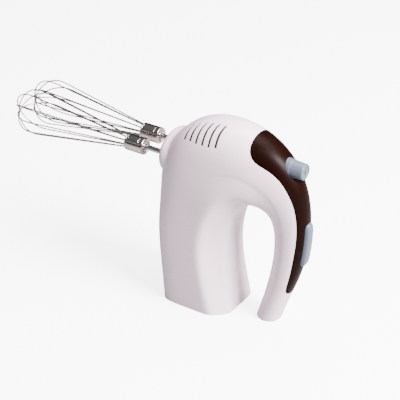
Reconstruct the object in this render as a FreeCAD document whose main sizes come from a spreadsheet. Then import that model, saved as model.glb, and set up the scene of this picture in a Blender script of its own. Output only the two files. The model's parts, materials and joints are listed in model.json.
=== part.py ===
import FreeCAD, Part
import math
import os
import re
import Sketcher
from FreeCAD import Placement, Rotation, Vector

# Electric hand mixer standing on its heel.
# Frame: origin at the centre of the heel's underside, +X toward the grip, -X out along
# the beaters, +Y to the mixer's left, +Z up.  Millimetres and degrees throughout.

os.makedirs("parts", exist_ok=True)
doc = FreeCAD.newDocument("hand_mixer")

# ---------------------------------------------------------------- driving dimensions
DIMENSIONS = {
    # casing
    "body_height": 205, "body_width": 72.4, "body_length": 155.5, "wall": 2.6,
    "panel_thickness": 1.3, "panel_gap": 0.25, "floor_thickness": 3,
    "nose_reach": 2.09, "nose_half_width": 28.5, "nose_half_height": 23, "nose_round": 7,
    "nose_wall": 2.6,
    # drive axes
    "motor_axis": -8, "beater_height": 156, "beater_spacing": 27,
    # worm and wheels
    "gear_module": 1, "wheel_teeth": 19, "wheel_width": 6, "tooth_backlash": 0.5,
    "worm_length": 16, "running_gap": 0.05, "overshoot": 1,
    # shafts
    "motor_shaft_d": 5, "spindle_d": 9, "spindle_bore": 5.9, "whisk_shaft_d": 5.6,
    "spindle_inset": 3, "spindle_rear": 12, "shaft_inner_end": -14.5,
    "pin_d": 4, "pin_head_d": 7, "pin_head_length": 2, "outlet_gap": 0.6,
    "shaft_tail": 3, "shaft_tip": 2,
    # whisks
    "ferrule_reach": 22.5, "ferrule_length": 21, "ferrule_d": 17, "ferrule_wall": 1.7,
    "ferrule_lip": 4, "ferrule_round": 0.8, "whisk_length": 162, "whisk_radius": 24, "wire_d": 1.3,
    "wire_root_radius": 5.2, "loop_step": 1.5, "loop_count": 5,
    # gear frame
    "frame_front": -22, "frame_rear": 11, "frame_wall": 5, "frame_half_width": 25,
    "frame_floor_drop": 20, "frame_floor": 4, "frame_rise": 13, "cover_thickness": 4,
    "cover_half_width": 15,
    # motor
    "stator_half_x": 19, "stator_half_y": 21.5, "stator_length": 32, "stator_drop": 90,
    "armature_r": 12, "air_gap": 0.6, "coil_from": 13.5, "coil_to": 17.5,
    "coil_half": 16, "coil_window": 9, "coil_overhang": 7, "commutator_r": 7,
    "commutator_length": 12, "commutator_drop": 114, "fan_r": 20, "fan_height": 10,
    "fan_drop": 44, "fan_blades": 11, "motor_plate_drop": 123, "motor_plate": 4,
    "bearing_r": 8, "winding_step": 1, "fan_disc": 1.2, "fan_blade": 1, "fan_hub_r": 5,
    "fan_root": 1, "fan_tip_gap": 0.5, "post_width": 10, "post_depth": 4,
    "brush_width": 5, "brush_height": 4, "brush_length": 10, "brush_drop": 108,
    "holder_wall": 1.5, "holder_gap": 2, "brush_gap": 0.1, "spring_room": 1.4,
    # speed and eject control
    "knob_height": 174, "knob_r": 8.7, "knob_proud": 10.75, "knob_length": 26,
    "knob_gap": 0.6, "knob_skirt": 0.6, "skirt_length": 12, "skirt_step": 2,
    "knob_round": 1.2, "knob_taper": 0.2, "dish_rim": 3, "dish_depth": 0.7, "dish_slope": 0.3,
    "mark_width": 1.4, "mark_length": 4, "mark_from": 2, "knob_cap": 8, "rod_d": 5,
    "rod_gap": 0.3, "bar_front": 21, "bar_thickness": 3, "riser_margin": 1,
    "bulkhead_half": 14,
    "switch_front": 56, "switch_length": 16, "switch_half": 9, "bulkhead": 2.5,
    # pulse button
    "button_low": 72, "button_high": 120, "button_half_width": 5.6, "button_rise": 4.6,
    "button_gap": 0.4, "button_flange": 1.5, "button_play": 0.3, "button_front": 92,
    "pulse_switch_front": 88, "shelf_margin": 1,
    "pulse_switch_length": 12, "pulse_switch_half": 5, "pulse_switch_height": 18,
    # cord entry and electronics
    "gland_height": 17, "gland_r": 6, "gland_bore_r": 3.3, "gland_flange_r": 8.5,
    "gland_flange": 2.4, "gland_depth": 8, "seat_gap": 0.1,
    "board_front": 20, "board_thickness": 1.6, "board_half_width": 17, "board_height": 55,
    # cooling slots
    "slot_count": 6, "slot_width": 2.6, "slot_pitch": 7.3, "slot_first": -12.6,
    "slot_inner": 10.4, "slot_outer": 28.7, "slot_lean": 1.5, "slot_bow": 0.8,
    "slot_fan": 0.32, "slot_longest": 3.5,
}
sheet = doc.addObject("Spreadsheet::Sheet", "dims")


def enter_sizes(sizes, first_row):
    """Writes sizes into the spreadsheet, one to a row."""
    for row, (alias, value) in enumerate(sizes.items(), start=first_row):
        sheet.set("A%d" % row, alias)
        sheet.set("B%d" % row, str(value))
        sheet.setAlias("B%d" % row, alias)
    doc.recompute()


enter_sizes(DIMENSIONS, 1)


def dim(alias):
    """Current value of a driving dimension."""
    return float(getattr(sheet, alias))


# ---------------------------------------------------------------- casing envelope
# The casing is one horn: it climbs from the heel, bends over the hand gap and comes
# down as the grip.  Each station is a cross-section between a point on the gap side and
# a point on the outer side of the side view, for a body of the drawn size.
# gap x, gap z, outer x, outer z, half width, gap-side chamfer, gap power, outer power
STATIONS = [
    (38.4, 0, -37.5, 0, 36.2, 0.80, 24, 5.5),
    (32.6, 36, -41.2, 38, 36.2, 0.755, 26, 5.0),
    (30.0, 74, -44.4, 84, 36.2, 0.735, 26, 4.6),
    (33.8, 103, -43.5, 128, 36.2, 0.775, 24, 3.6),
    (43.0, 119.5, -38.0, 168.5, 35.8, 0.785, 20, 2.9),
    (55.5, 126.5, -4.0, 200, 33.2, 0.77, 12, 2.5),
    (64.5, 126, 46.0, 204, 28.5, 0.86, 5.5, 2.3),
    (72.5, 116, 86.0, 184.5, 21.8, 1.06, 3, 2.3),
    (75.2, 98, 107.8, 148, 16.6, 1.3, 2.3, 2.3),
    (75.2, 78, 111.6, 108, 15.4, 1.3, 2.3, 2.3),
    (71.8, 52, 105.0, 62, 14.8, 1.3, 2.3, 2.3),
    (65.0, 22, 92.0, 24, 13.8, 1.3, 2.3, 2.3),
    (58.6, 0, 84.2, 0, 13.4, 1.3, 2.3, 2.3),
]
DRAWN_LENGTH, DRAWN_WIDTH, DRAWN_HEIGHT = 155.5, 72.4, 205
CHAMFER_TILT = math.radians(48)
# Share of a station's depth over which its outer power turns into its gap power.
POWER_BLEND = 0.4
SCALE_X = dim("body_length") / DRAWN_LENGTH
SCALE_Y = dim("body_width") / DRAWN_WIDTH
SCALE_Z = dim("body_height") / DRAWN_HEIGHT
# Middle of the hand gap at the floor, between the casing's heel and its foot.
GAP_MIDDLE = (STATIONS[0][0] + STATIONS[-1][0]) / 2


def natural_spline(knots, values, at):
    """Value at one place of the smooth curve through values, free at both ends."""
    n = len(knots)
    step = [knots[i + 1] - knots[i] for i in range(n - 1)]
    slope = [(values[i + 1] - values[i]) / step[i] for i in range(n - 1)]
    upper, right = [0.0] * n, [0.0] * n
    for i in range(1, n - 1):
        pivot = 2 * (step[i - 1] + step[i]) - step[i - 1] * upper[i - 1]
        upper[i] = step[i] / pivot
        right[i] = (6 * (slope[i] - slope[i - 1]) - step[i - 1] * right[i - 1]) / pivot
    bend = [0.0] * n
    for i in range(n - 2, 0, -1):
        bend[i] = right[i] - upper[i] * bend[i + 1]
    k = max(i for i in range(n - 1) if knots[i] <= at)
    a, b = knots[k + 1] - at, at - knots[k]
    return ((bend[k] * a ** 3 + bend[k + 1] * b ** 3) / (6 * step[k])
            + (values[k] / step[k] - bend[k] * step[k] / 6) * a
            + (values[k + 1] / step[k] - bend[k + 1] * step[k] / 6) * b)


def smooth_stations(count):
    """Stations spread evenly along the horn's centre line."""
    knots = [0.0]
    for p, q in zip(STATIONS, STATIONS[1:]):
        dx, dz = (q[0] + q[2] - p[0] - p[2]) / 2, (q[1] + q[3] - p[1] - p[3]) / 2
        knots.append(knots[-1] + math.hypot(dx, dz))
    columns = list(zip(*STATIONS))
    places = [knots[-1] * i / (count - 1) for i in range(count)]
    rows = [[natural_spline(knots, c, t) for c in columns] for t in places[:-1]]
    return rows + [list(STATIONS[-1])]


ROWS = smooth_stations(33)


def outline_x(height, rows):
    """X of the casing's outer line where it first passes a height."""
    for p, q in zip(rows, rows[1:]):
        share = (height / SCALE_Z - p[3]) / (q[3] - p[3])
        if 0 <= share <= 1:
            return (p[2] + (q[2] - p[2]) * share) * SCALE_X
    raise ValueError("the casing does not reach a height of %g" % height)


# What stands on the casing's front or on its grip keeps its distance to the outer line.
nose_tip = round(outline_x(dim("beater_height"), ROWS) - dim("nose_reach"), 2)
knob_tip = round(outline_x(dim("knob_height"), ROWS[::-1]) + dim("knob_proud"), 2)
PLACES = {
    "nose_front": nose_tip, "spindle_front": nose_tip + dim("spindle_inset"),
    "ferrule_rear": nose_tip - dim("ferrule_reach"),
    "whisk_tip": nose_tip - dim("ferrule_reach") - dim("whisk_length"),
    "knob_end": knob_tip, "knob_start": knob_tip - dim("knob_length"),
}
enter_sizes(PLACES, len(DIMENSIONS) + 1)


def half_outline(row, inset, count=60):
    """Left half of a cross-section, from the outer side round to the gap side."""
    gap_x, gap_z, out_x, out_z, half, chamfer, gap_power, out_power = row
    gap_point = Vector(gap_x * SCALE_X, 0, gap_z * SCALE_Z)
    out_point = Vector(out_x * SCALE_X, 0, out_z * SCALE_Z)
    half = half * SCALE_Y
    reach = (out_point - gap_point).Length / 2
    along = (out_point - gap_point).normalize()
    centre = (out_point + gap_point) * 0.5
    cut = chamfer * (reach * math.cos(CHAMFER_TILT) + half * math.sin(CHAMFER_TILT))
    points = []
    for i in range(count + 1):
        c, s = math.cos(math.pi * i / count), math.sin(math.pi * i / count)
        if i in (0, count):
            s = 0
        share = min(1, max(0, -c / POWER_BLEND))
        share = share * share * (3 - 2 * share)
        power = out_power + (gap_power - out_power) * share
        total = abs(c / (reach - inset)) ** power + (s / (half - inset)) ** power
        if share > 0:
            facet = s * math.sin(CHAMFER_TILT) - c * math.cos(CHAMFER_TILT)
            total += share * (facet / (cut - inset)) ** power
        radius = total ** (-1 / power)
        points.append(centre + along * (radius * c) + Vector(0, radius * s, 0))
    return points


def horn(inset):
    """Left half of the casing envelope as a solid, moved inward by inset."""
    surface = Part.BSplineSurface()
    surface.interpolate([half_outline(row, inset) for row in ROWS])
    skin = surface.toShape()
    flat = {"heel": [], "foot": [], "middle": []}
    for edge in skin.Edges:
        bound = edge.BoundBox
        if bound.YMax < 1e-4:
            flat["middle"].append(edge)
        elif bound.XMax < GAP_MIDDLE * SCALE_X:
            flat["heel"].append(edge)
        else:
            flat["foot"].append(edge)
    caps = []
    for name in ("heel", "foot"):
        rim = flat[name][0]
        chord = Part.makeLine(rim.Vertexes[0].Point, rim.Vertexes[-1].Point)
        caps.append(Part.Face(Part.Wire([rim, chord])))
        flat["middle"].append(chord)
    caps.append(Part.Face(Part.Wire(Part.__sortEdges__(flat["middle"]))))
    solid = Part.Solid(Part.Shell([skin] + caps))
    if solid.Volume < 0:
        solid.reverse()
    return solid


X, Y, Z = Vector(1, 0, 0), Vector(0, 1, 0), Vector(0, 0, 1)
TURNS = {"X": Rotation(Y, 90), "Y": Rotation(X, -90), "Z": Rotation()}
SIDES = {"left": "", "right": "-"}
parts = []


# ---------------------------------------------------------------- document helpers
def tied(text):
    """Expression with every dimension's name looked up in the spreadsheet."""
    return re.sub(r"[a-z_]+[a-z_0-9]*", lambda word: "dims." + word.group(), text)


def bind(obj, **expressions):
    """Ties properties of an object to the spreadsheet."""
    for path, text in expressions.items():
        obj.setExpression(path.replace("__", "."), tied(text))
    return obj


def place(obj, x, y, z, axis="Z"):
    """Puts an object's origin at a tied point, with its own Z along an axis."""
    obj.Placement = Placement(Vector(), TURNS[axis])
    return bind(obj, Placement__Base__x=x, Placement__Base__y=y, Placement__Base__z=z)


def block(name, x, y, z, length, width, height):
    """Rectangular block from its lowest corner."""
    obj = bind(doc.addObject("Part::Box", name), Length=length, Width=width, Height=height)
    return place(obj, x, y, z)


def round_bar(name, axis, x, y, z, radius, length):
    """Cylinder from its start point."""
    obj = bind(doc.addObject("Part::Cylinder", name), Radius=radius, Height=length)
    return place(obj, x, y, z, axis)


def joined(name, *objects):
    """Union of objects."""
    obj = doc.addObject("Part::MultiFuse", name)
    obj.Shapes = list(objects)
    obj.Refine = True
    return obj


def cut(name, base, *tools):
    """An object less its tools."""
    obj = doc.addObject("Part::Cut", name)
    obj.Base = base
    obj.Tool = tools[0] if len(tools) == 1 else joined(name + "_tools", *tools)
    return obj


def shared(name, base, tool):
    """What two objects have in common."""
    obj = doc.addObject("Part::Common", name)
    obj.Base = base
    obj.Tool = tool
    return obj


def mirrored(name, source):
    """Mirror image on the right-hand side."""
    obj = doc.addObject("Part::Mirroring", name)
    obj.Source = source
    obj.Normal = Y
    return obj


def formula(name, shape):
    """Shape worked out by a formula that no feature makes."""
    obj = doc.addObject("Part::Feature", name)
    obj.Shape = shape
    return obj


def sub_part(obj, name):
    """Marks an object as one finished piece of the mixer."""
    obj.Label = name
    parts.append(obj)
    return obj


def turned(name, profile, x, y, z):
    """PartDesign body turned about an axis along X from (distance, radius) points."""
    body = doc.addObject("PartDesign::Body", name + "_body")
    plane = [f for f in body.Origin.OriginFeatures if f.Role == "XZ_Plane"][0]
    sketch = body.newObject("Sketcher::SketchObject", name + "_profile")
    sketch.AttachmentSupport = [(plane, "")]
    sketch.MapMode = "FlatFace"
    points = [Vector(dim_value(a), dim_value(b), 0) for a, b in profile]
    count = len(points)
    for i in range(count):
        sketch.addGeometry(Part.LineSegment(points[i], points[(i + 1) % count]), False)
    for i in range(count):
        sketch.addConstraint(Sketcher.Constraint("Coincident", i, 2, (i + 1) % count, 1))
    for i, ends in enumerate(profile):
        for kind, text in zip(("DistanceX", "DistanceY"), ends):
            if dim_value(text) == 0:
                sketch.addConstraint(Sketcher.Constraint(
                    "PointOnObject", i, 1, -2 if kind == "DistanceX" else -1))
            else:
                index = sketch.addConstraint(Sketcher.Constraint(
                    kind, -1, 1, i, 1, dim_value(text)))
                sketch.setExpression("Constraints[%d]" % index, tied(text))
    turn = body.newObject("PartDesign::Revolution", name + "_turn")
    turn.Profile = sketch
    turn.ReferenceAxis = (sketch, ["H_Axis"])
    turn.Angle = 360
    body.Tip = turn
    bind(body, Placement__Base__x=x, Placement__Base__y=y, Placement__Base__z=z)
    return body


def dim_value(text):
    """Number that a tied expression has now."""
    names = {alias: dim(alias) for alias in (*DIMENSIONS, *PLACES)}
    total, sign = 0.0, 1
    for token in re.findall(r"[+-]|[a-z_0-9.* /]+", text.replace(" ", "")):
        if token in "+-":
            sign = 1 if token == "+" else -1
            continue
        value = 1.0
        for step in re.findall(r"[*/]?[a-z_0-9.]+", token):
            word = step.lstrip("*/")
            number = names[word] if word in names else float(word)
            value = value / number if step[0] == "/" else value * number
        total += sign * value
    return total


# ---------------------------------------------------------------- casing
wall = dim("wall")
beater_z, beater_y, motor_x = dim("beater_height"), dim("beater_spacing") / 2, dim("motor_axis")
outer = formula("outer_horn", horn(0))
middle = formula("middle_horn", horn(dim("panel_thickness")))
inner = formula("inner_horn", horn(wall))
inner_right = mirrored("inner_horn_right", inner)
cavity = joined("cavity", inner, inner_right)
heel_limit = "body_length * %.4f" % (GAP_MIDDLE / DRAWN_LENGTH)


def bulkhead(name, x, length, z, height):
    """Plate that fills the casing from wall to wall."""
    slab = block(name + "_slab", x, "-body_width", z, length, "2 * body_width", height)
    return shared(name, cavity, slab)


def stadium(name, grow, start, length):
    """Upright bar with round ends and a flat back, extruded along X."""
    half = "button_half_width + %s" % grow
    flat = block(name + "_flat", start, "-button_half_width - %s" % grow,
                 "button_low + button_half_width", length, "2 * button_half_width + 2 * %s" % grow,
                 "button_high - button_low - 2 * button_half_width")
    low = round_bar(name + "_low", "X", start, "0", "button_low + button_half_width", half, length)
    high = round_bar(name + "_high", "X", start, "0", "button_high - button_half_width", half,
                     length)
    return joined(name, flat, low, high)


# Side-view edge of the dark grip panel, from the crown down to its lower tip.
PANEL_EDGE = [(55.5, 215), (55.5, 199), (57.5, 190), (63, 183), (74, 177), (86.5, 168),
              (95.5, 155), (102, 139), (105, 120), (104.6, 98), (101.3, 73), (98.2, 57),
              (95, 43), (95.4, 37.5), (98, 35), (102, 35)]


def panel_region(shrink):
    """Everything behind the panel's edge, its border moved inward by shrink."""
    edge = [Vector((x + shrink) * SCALE_X, 0, z * SCALE_Z) for x, z in PANEL_EDGE]
    for point in edge[-3:]:
        point.z += shrink
    curve = Part.BSplineCurve()
    curve.interpolate(edge)
    beyond = 2 * dim("body_length")
    low, high = Vector(beyond, 0, edge[-1].z), Vector(beyond, 0, edge[0].z)
    outline = Part.Wire([curve.toShape(), Part.makeLine(edge[-1], low),
                         Part.makeLine(low, high), Part.makeLine(high, edge[0])])
    return Part.Face(outline).extrude(Vector(0, dim("body_width"), 0))


def cooling_slot(index):
    """Slit cut down into the crown, from near its ridge out over the shoulder."""
    x = dim("slot_first") + index * dim("slot_pitch")
    half = X * (dim("slot_width") / 2)
    end_y = dim("slot_outer") - dim("slot_fan") * (index - dim("slot_longest")) ** 2
    inner_end = Vector(x + dim("slot_lean"), dim("slot_inner"), 0)
    outer_end = Vector(x, end_y, 0)
    bow = (inner_end + outer_end) * 0.5 - X * dim("slot_bow")
    front = Part.Arc(inner_end - half, bow - half, outer_end - half).toShape()
    rear = Part.Arc(inner_end + half, bow + half, outer_end + half).toShape()
    outline = Part.Wire([front, Part.makeLine(outer_end - half, outer_end + half), rear,
                         Part.makeLine(inner_end + half, inner_end - half)])
    return Part.Face(outline).extrude(Z * dim("body_height")).translated(Z * beater_z)


BUTTON_REACH = "body_length - button_front"
button_slot = stadium("button_slot", "button_gap", "button_front", BUTTON_REACH)
knob_hole = round_bar("knob_hole", "X", "knob_start - skirt_length", "0", "knob_height",
                      "knob_r + knob_skirt + knob_gap", "body_length / 2")
spindle_hole = round_bar("spindle_hole", "X", "nose_front - overshoot", "beater_spacing / 2",
                         "beater_height", "spindle_d / 2 + outlet_gap",
                         "motor_axis - nose_front + overshoot")
gland_hole = round_bar("gland_hole", "Y", "motor_axis", "body_width / 4", "gland_height",
                       "gland_r", "body_width / 2")
slots = formula("cooling_slots", Part.makeCompound(
    [cooling_slot(i) for i in range(int(dim("slot_count")))]))
skin = cut("panel_skin", outer, middle)
recess = shared("panel_recess", skin, formula("recess_region", panel_region(0)))
shell = cut("casing_shell", outer, inner)
for tool in (recess, button_slot, knob_hole, spindle_hole, slots):
    shell = cut("shell_less_" + tool.Name, shell, tool)
sub_part(cut("left_casing", shell, gland_hole), "casing_left")
sub_part(mirrored("right_casing", shell), "casing_right")
panel = shared("panel_half", skin, formula("panel_area", panel_region(dim("panel_gap"))))
panel = cut("panel_bored", cut("panel_slotted", panel, button_slot), knob_hole)
sub_part(joined("whole_panel", panel, mirrored("panel_right", panel)), "grip_panel")
sub_part(bulkhead("heel", "-body_length", "body_length + " + heel_limit, "0",
                  "floor_thickness"), "heel_plate")
sub_part(bulkhead("foot", heel_limit, "body_length", "0", "floor_thickness"), "foot_plug")


def rounded_oval(name, inset, start, round_radius):
    """Oval bar along X with a rounded front rim."""
    oval = bind(doc.addObject("Part::Ellipse", name + "_rim"),
                MajorRadius="nose_half_width - " + inset, MinorRadius="nose_half_height - " + inset)
    oval.Placement = Placement(Vector(), Rotation(Y, Z, X, "ZXY"))
    bind(oval, Placement__Base__x=start, Placement__Base__z="beater_height")
    solid = doc.addObject("Part::Extrusion", name + "_bar")
    solid.Base = oval
    solid.DirMode = "Custom"
    solid.Dir = X
    solid.Solid = True
    bind(solid, LengthFwd="motor_axis - (%s)" % start)
    doc.recompute()
    front = min(solid.Shape.Edges, key=lambda e: e.BoundBox.XMax)
    index = [i for i, e in enumerate(solid.Shape.Edges, 1) if e.isSame(front)][0]
    rounded = doc.addObject("Part::Fillet", name)
    rounded.Base = solid
    rounded.Edges = [(index, dim_value(round_radius), dim_value(round_radius))]
    return rounded


cap = rounded_oval("cap_outside", "0", "nose_front", "nose_round")
hollow = rounded_oval("cap_inside", "nose_wall", "nose_front + nose_wall",
                      "nose_round - nose_wall")
cap = cut("cap_hollowed", cap, hollow)
for tool in (outer, mirrored("outer_horn_right", outer), spindle_hole,
             mirrored("spindle_hole_right", spindle_hole)):
    cap = cut("cap_less_" + tool.Name, cap, tool)
sub_part(cap, "nose_cap")

# ---------------------------------------------------------------- gear frame
FRAME_LOW = "beater_height - frame_floor_drop"
FRAME_FLOOR = FRAME_LOW + " + frame_floor"
FRAME_TOP = "beater_height + frame_rise"
FRAME_UP = "frame_rise + frame_floor_drop - frame_floor"
base = bulkhead("gear_floor", "-body_length", "body_length + frame_rear", FRAME_LOW,
                "frame_floor")
front_wall = block("gear_front", "frame_front", "-frame_half_width", FRAME_FLOOR, "frame_wall",
                   "2 * frame_half_width", FRAME_UP)
rear_wall = block("gear_rear", "frame_rear - frame_wall", "-frame_half_width", FRAME_FLOOR,
                  "frame_wall", "2 * frame_half_width", FRAME_UP)
journals = [round_bar("journal_" + side, "X", "frame_front - overshoot",
                      sign + "beater_spacing / 2", "beater_height",
                      "spindle_d / 2 + running_gap",
                      "frame_rear - frame_front + 2 * overshoot")
            for side, sign in SIDES.items()]
seat = round_bar("bearing_seat", "Z", "motor_axis", "0", FRAME_LOW, "bearing_r", "frame_floor")
frame = joined("gear_walls", base, front_wall, rear_wall)
sub_part(cut("gear_carrier", frame, seat, *journals), "gear_frame")
cover = block("cover_block", "frame_front", "-cover_half_width", FRAME_TOP,
              "frame_rear - frame_front", "2 * cover_half_width", "cover_thickness")
shaft_way = round_bar("shaft_way", "Z", "motor_axis", "0", "0",
                      "motor_shaft_d / 2 + running_gap", "body_height")
shaft_bore = round_bar("shaft_bore", "Z", "motor_axis", "0", "0", "motor_shaft_d / 2",
                       "body_height")
sub_part(cut("cover", cover, shaft_way), "gear_cover")
sub_part(cut("top_bush", seat, shaft_way), "upper_bearing")

# ---------------------------------------------------------------- worm and wheels
module, teeth = dim("gear_module"), int(dim("wheel_teeth"))
pitch = math.pi * module
wheel_r = module * teeth / 2
worm_r = beater_y - wheel_r
backlash = dim("tooth_backlash")
lead_angle = math.atan2(pitch, 2 * math.pi * worm_r)
# Tooth heights above and below the pitch line, in modules.
ADDENDUM, WORM_DEDENDUM, WHEEL_DEDENDUM = 0.9, 1.15, 1.2
worm_root, worm_tip = worm_r - WORM_DEDENDUM * module, worm_r + ADDENDUM * module
PRESSURE_ANGLE = math.radians(20)


def worm_thread():
    """Right-hand single thread, centred on beater height toward +X."""
    turns = math.floor(dim("worm_length") / pitch) - 1
    sunk = worm_root - 0.3
    flank = math.tan(PRESSURE_ANGLE)
    base_half = (pitch - backlash) / 4 + (worm_r - sunk) * flank
    crest_half = (pitch - backlash) / 4 - (worm_tip - worm_r) * flank
    outline = Part.makePolygon([
        Vector(sunk, 0, -base_half), Vector(worm_tip, 0, -crest_half),
        Vector(worm_tip, 0, crest_half), Vector(sunk, 0, base_half),
        Vector(sunk, 0, -base_half)])
    helix = Part.makeHelix(pitch, turns * pitch, worm_r)
    thread = Part.Wire(helix).makePipeShell([outline], True, True)
    thread.translate(Vector(motor_x, 0, beater_z - turns * pitch / 2))
    return thread


SHAFT_LOW = "beater_height - motor_plate_drop - shaft_tail"
shaft = round_bar("motor_shaft", "Z", "motor_axis", "0", SHAFT_LOW, "motor_shaft_d / 2",
                  "motor_plate_drop + frame_rise + cover_thickness + shaft_tail + shaft_tip")
core = doc.addObject("Part::Cylinder", "worm_core")
core.Radius = worm_root
bind(core, Height="worm_length")
place(core, "motor_axis", "0", "beater_height - worm_length / 2")
worm = doc.addObject("Part::MultiFuse", "worm_and_shaft")
worm.Shapes = [shaft, core, formula("worm_thread", worm_thread())]
sub_part(worm, "worm_shaft")


def tooth_half_angle(radius):
    """Half the angle that an involute tooth spans at a radius."""
    base_circle = wheel_r * math.cos(PRESSURE_ANGLE)

    def roll(r):
        angle = math.acos(min(1, base_circle / r))
        return math.tan(angle) - angle
    return (pitch - backlash) / 4 / wheel_r + roll(wheel_r) - roll(max(radius, base_circle))


def wheel_outline(turn, x):
    """Closed tooth outline of a worm wheel in the plane at x."""
    points = []
    radii = [wheel_r + step * module for step in (-WHEEL_DEDENDUM, -0.5, 0, 0.5, ADDENDUM)]
    flanks = [(r, -tooth_half_angle(r)) for r in radii]
    flanks += [(r, tooth_half_angle(r)) for r in reversed(radii)]
    for k in range(teeth):
        centre = turn + 2 * math.pi * k / teeth
        points += [Vector(x, r * math.cos(centre + a), r * math.sin(centre + a))
                   for r, a in flanks]
    return Part.makePolygon(points + [points[0]])


def wheel_blank(side):
    """Helical wheel on one side of the worm, a gap of its teeth on the worm's thread."""
    toward_worm = math.pi if side > 0 else 0
    turn = toward_worm - pitch / 4 / wheel_r + math.pi / teeth
    half = dim("wheel_width") / 2
    twist = half * math.tan(lead_angle) / wheel_r
    wheel = Part.makeLoft([wheel_outline(turn - twist, -half), wheel_outline(turn + twist, half)],
                          True, True)
    wheel.translate(Vector(motor_x, side * beater_y, beater_z))
    return wheel


# ---------------------------------------------------------------- spindles and whisks
HUB_FRONT = "ferrule_rear - ferrule_length + ferrule_lip"
HUB_LENGTH = "ferrule_length - ferrule_lip - ferrule_wall"
hub_front = dim_value(HUB_FRONT)
wire_r, root_r = dim("wire_d") / 2, dim("wire_root_radius")
loops = int(dim("loop_count"))
# Longest loop first; neighbours differ so that the two whisks turn clear of each other.
LOOP_ORDER = (0, 2, 4, 3, 1)


def wire_loop(tip, angle, side):
    """Tear-drop wire loop in a plane through the whisk's axis."""
    radius = dim("whisk_radius") - wire_r
    centre = tip + radius + wire_r
    dx = hub_front - centre
    tilt = math.atan2(root_r, dx) + math.acos(radius / math.hypot(dx, root_r))
    tangent = Vector(centre + radius * math.cos(tilt), 0, radius * math.sin(tilt))
    root, far = Vector(hub_front, 0, root_r), Vector(centre - radius, 0, 0)
    below, root_below = Vector(tangent.x, 0, -tangent.z), Vector(root.x, 0, -root.z)
    path = Part.Wire([Part.makeLine(root, tangent), Part.Arc(tangent, far, below).toShape(),
                      Part.makeLine(below, root_below)])
    profile = Part.Wire([Part.makeCircle(wire_r, root, (tangent - root).normalize())])
    loop = path.makePipeShell([profile], True, False)
    trim = 2 * dim("whisk_radius")
    loop = loop.cut(Part.makeBox(trim, trim, trim, Vector(hub_front, -trim / 2, -trim / 2)))
    loop.rotate(Vector(), X, angle)
    loop.translate(Vector(0, side * beater_y, beater_z))
    return loop


for side, sign in SIDES.items():
    direction = -1 if sign else 1
    y, z = sign + "beater_spacing / 2", "beater_height"
    wheel = formula("wheel_teeth_" + side, wheel_blank(direction))
    bore = round_bar("wheel_bore_" + side, "X", "frame_front", y, z, "spindle_d / 2",
                     "frame_rear - frame_front")
    sub_part(cut("wheel_" + side, wheel, bore), "worm_wheel_" + side)
    tube = round_bar("spindle_bar_" + side, "X", "spindle_front", y, z, "spindle_d / 2",
                     "spindle_rear - spindle_front")
    bore = round_bar("spindle_way_" + side, "X", "spindle_front", y, z, "spindle_bore / 2",
                     "spindle_rear - spindle_front")
    sub_part(cut("drive_tube_" + side, tube, bore), "spindle_" + side)
    stem = round_bar("pin_stem_" + side, "X", "shaft_inner_end", y, z, "pin_d / 2",
                     "bar_front - shaft_inner_end")
    head = round_bar("pin_head_" + side, "X", "bar_front - pin_head_length", y, z,
                     "pin_head_d / 2", "pin_head_length")
    sub_part(joined("pusher_" + side, stem, head), "eject_pin_" + side)
    sub_part(round_bar("shank_" + side, "X", HUB_FRONT, y, z, "whisk_shaft_d / 2",
                       "shaft_inner_end - (%s)" % HUB_FRONT), "whisk_shaft_" + side)
    sub_part(turned("hub_" + side, [
        ("0", "whisk_shaft_d / 2"), (HUB_LENGTH, "whisk_shaft_d / 2"),
        (HUB_LENGTH, "ferrule_d / 2 - ferrule_wall"), ("0", "ferrule_d / 2 - ferrule_wall")],
        HUB_FRONT, y, z), "wire_hub_" + side)
    sub_part(turned("sleeve_" + side, [
        ("0", "ferrule_d / 2 - ferrule_wall"), ("0", "ferrule_d / 2 - ferrule_round"),
        ("ferrule_round", "ferrule_d / 2"), ("ferrule_length - ferrule_round", "ferrule_d / 2"),
        ("ferrule_length", "ferrule_d / 2 - ferrule_round"),
        ("ferrule_length", "whisk_shaft_d / 2"),
        ("ferrule_length - ferrule_wall", "whisk_shaft_d / 2"),
        ("ferrule_length - ferrule_wall", "ferrule_d / 2 - ferrule_wall")],
        "ferrule_rear - ferrule_length", y, z), "ferrule_" + side)
    phase = 90 / loops if sign else 0
    for k, rank in enumerate(LOOP_ORDER):
        name = "whisk_loop_%s_%d" % (side, k + 1)
        tip = dim("whisk_tip") + rank * dim("loop_step")
        sub_part(formula(name, wire_loop(tip, phase + 180 * k / loops, direction)), name)

# ---------------------------------------------------------------- motor
PLATE_LOW = "beater_height - motor_plate_drop"
PLATE_TOP = PLATE_LOW + " + motor_plate"
STATOR_LOW = "beater_height - stator_drop"
COIL_LOW = STATOR_LOW + " - coil_overhang"
coils = {}
for name, x in (("front", "motor_axis - coil_to"), ("rear", "motor_axis + coil_from")):
    ring = block("coil_ring_" + name, x, "-coil_half", COIL_LOW, "coil_to - coil_from",
                 "2 * coil_half", "stator_length + 2 * coil_overhang")
    window = block("coil_window_" + name, x, "-coil_window", STATOR_LOW, "coil_to - coil_from",
                   "2 * coil_window", "stator_length")
    coils[name] = sub_part(cut("winding_" + name, ring, window), "field_coil_" + name)
laminations = block("stator_block", "motor_axis - stator_half_x", "-stator_half_y", STATOR_LOW,
                    "2 * stator_half_x", "2 * stator_half_y", "stator_length")
stator_bore = round_bar("stator_bore", "Z", "motor_axis", "0", STATOR_LOW,
                        "armature_r + air_gap", "stator_length")
stator = cut("stator_bored", laminations, stator_bore)
for name in coils:
    stator = cut("stator_slotted_" + name, stator, coils[name])
sub_part(stator, "stator_core")
plate = bulkhead("motor_plate_part", "-body_length", "body_length + " + heel_limit, PLATE_LOW,
                 "motor_plate")
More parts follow.
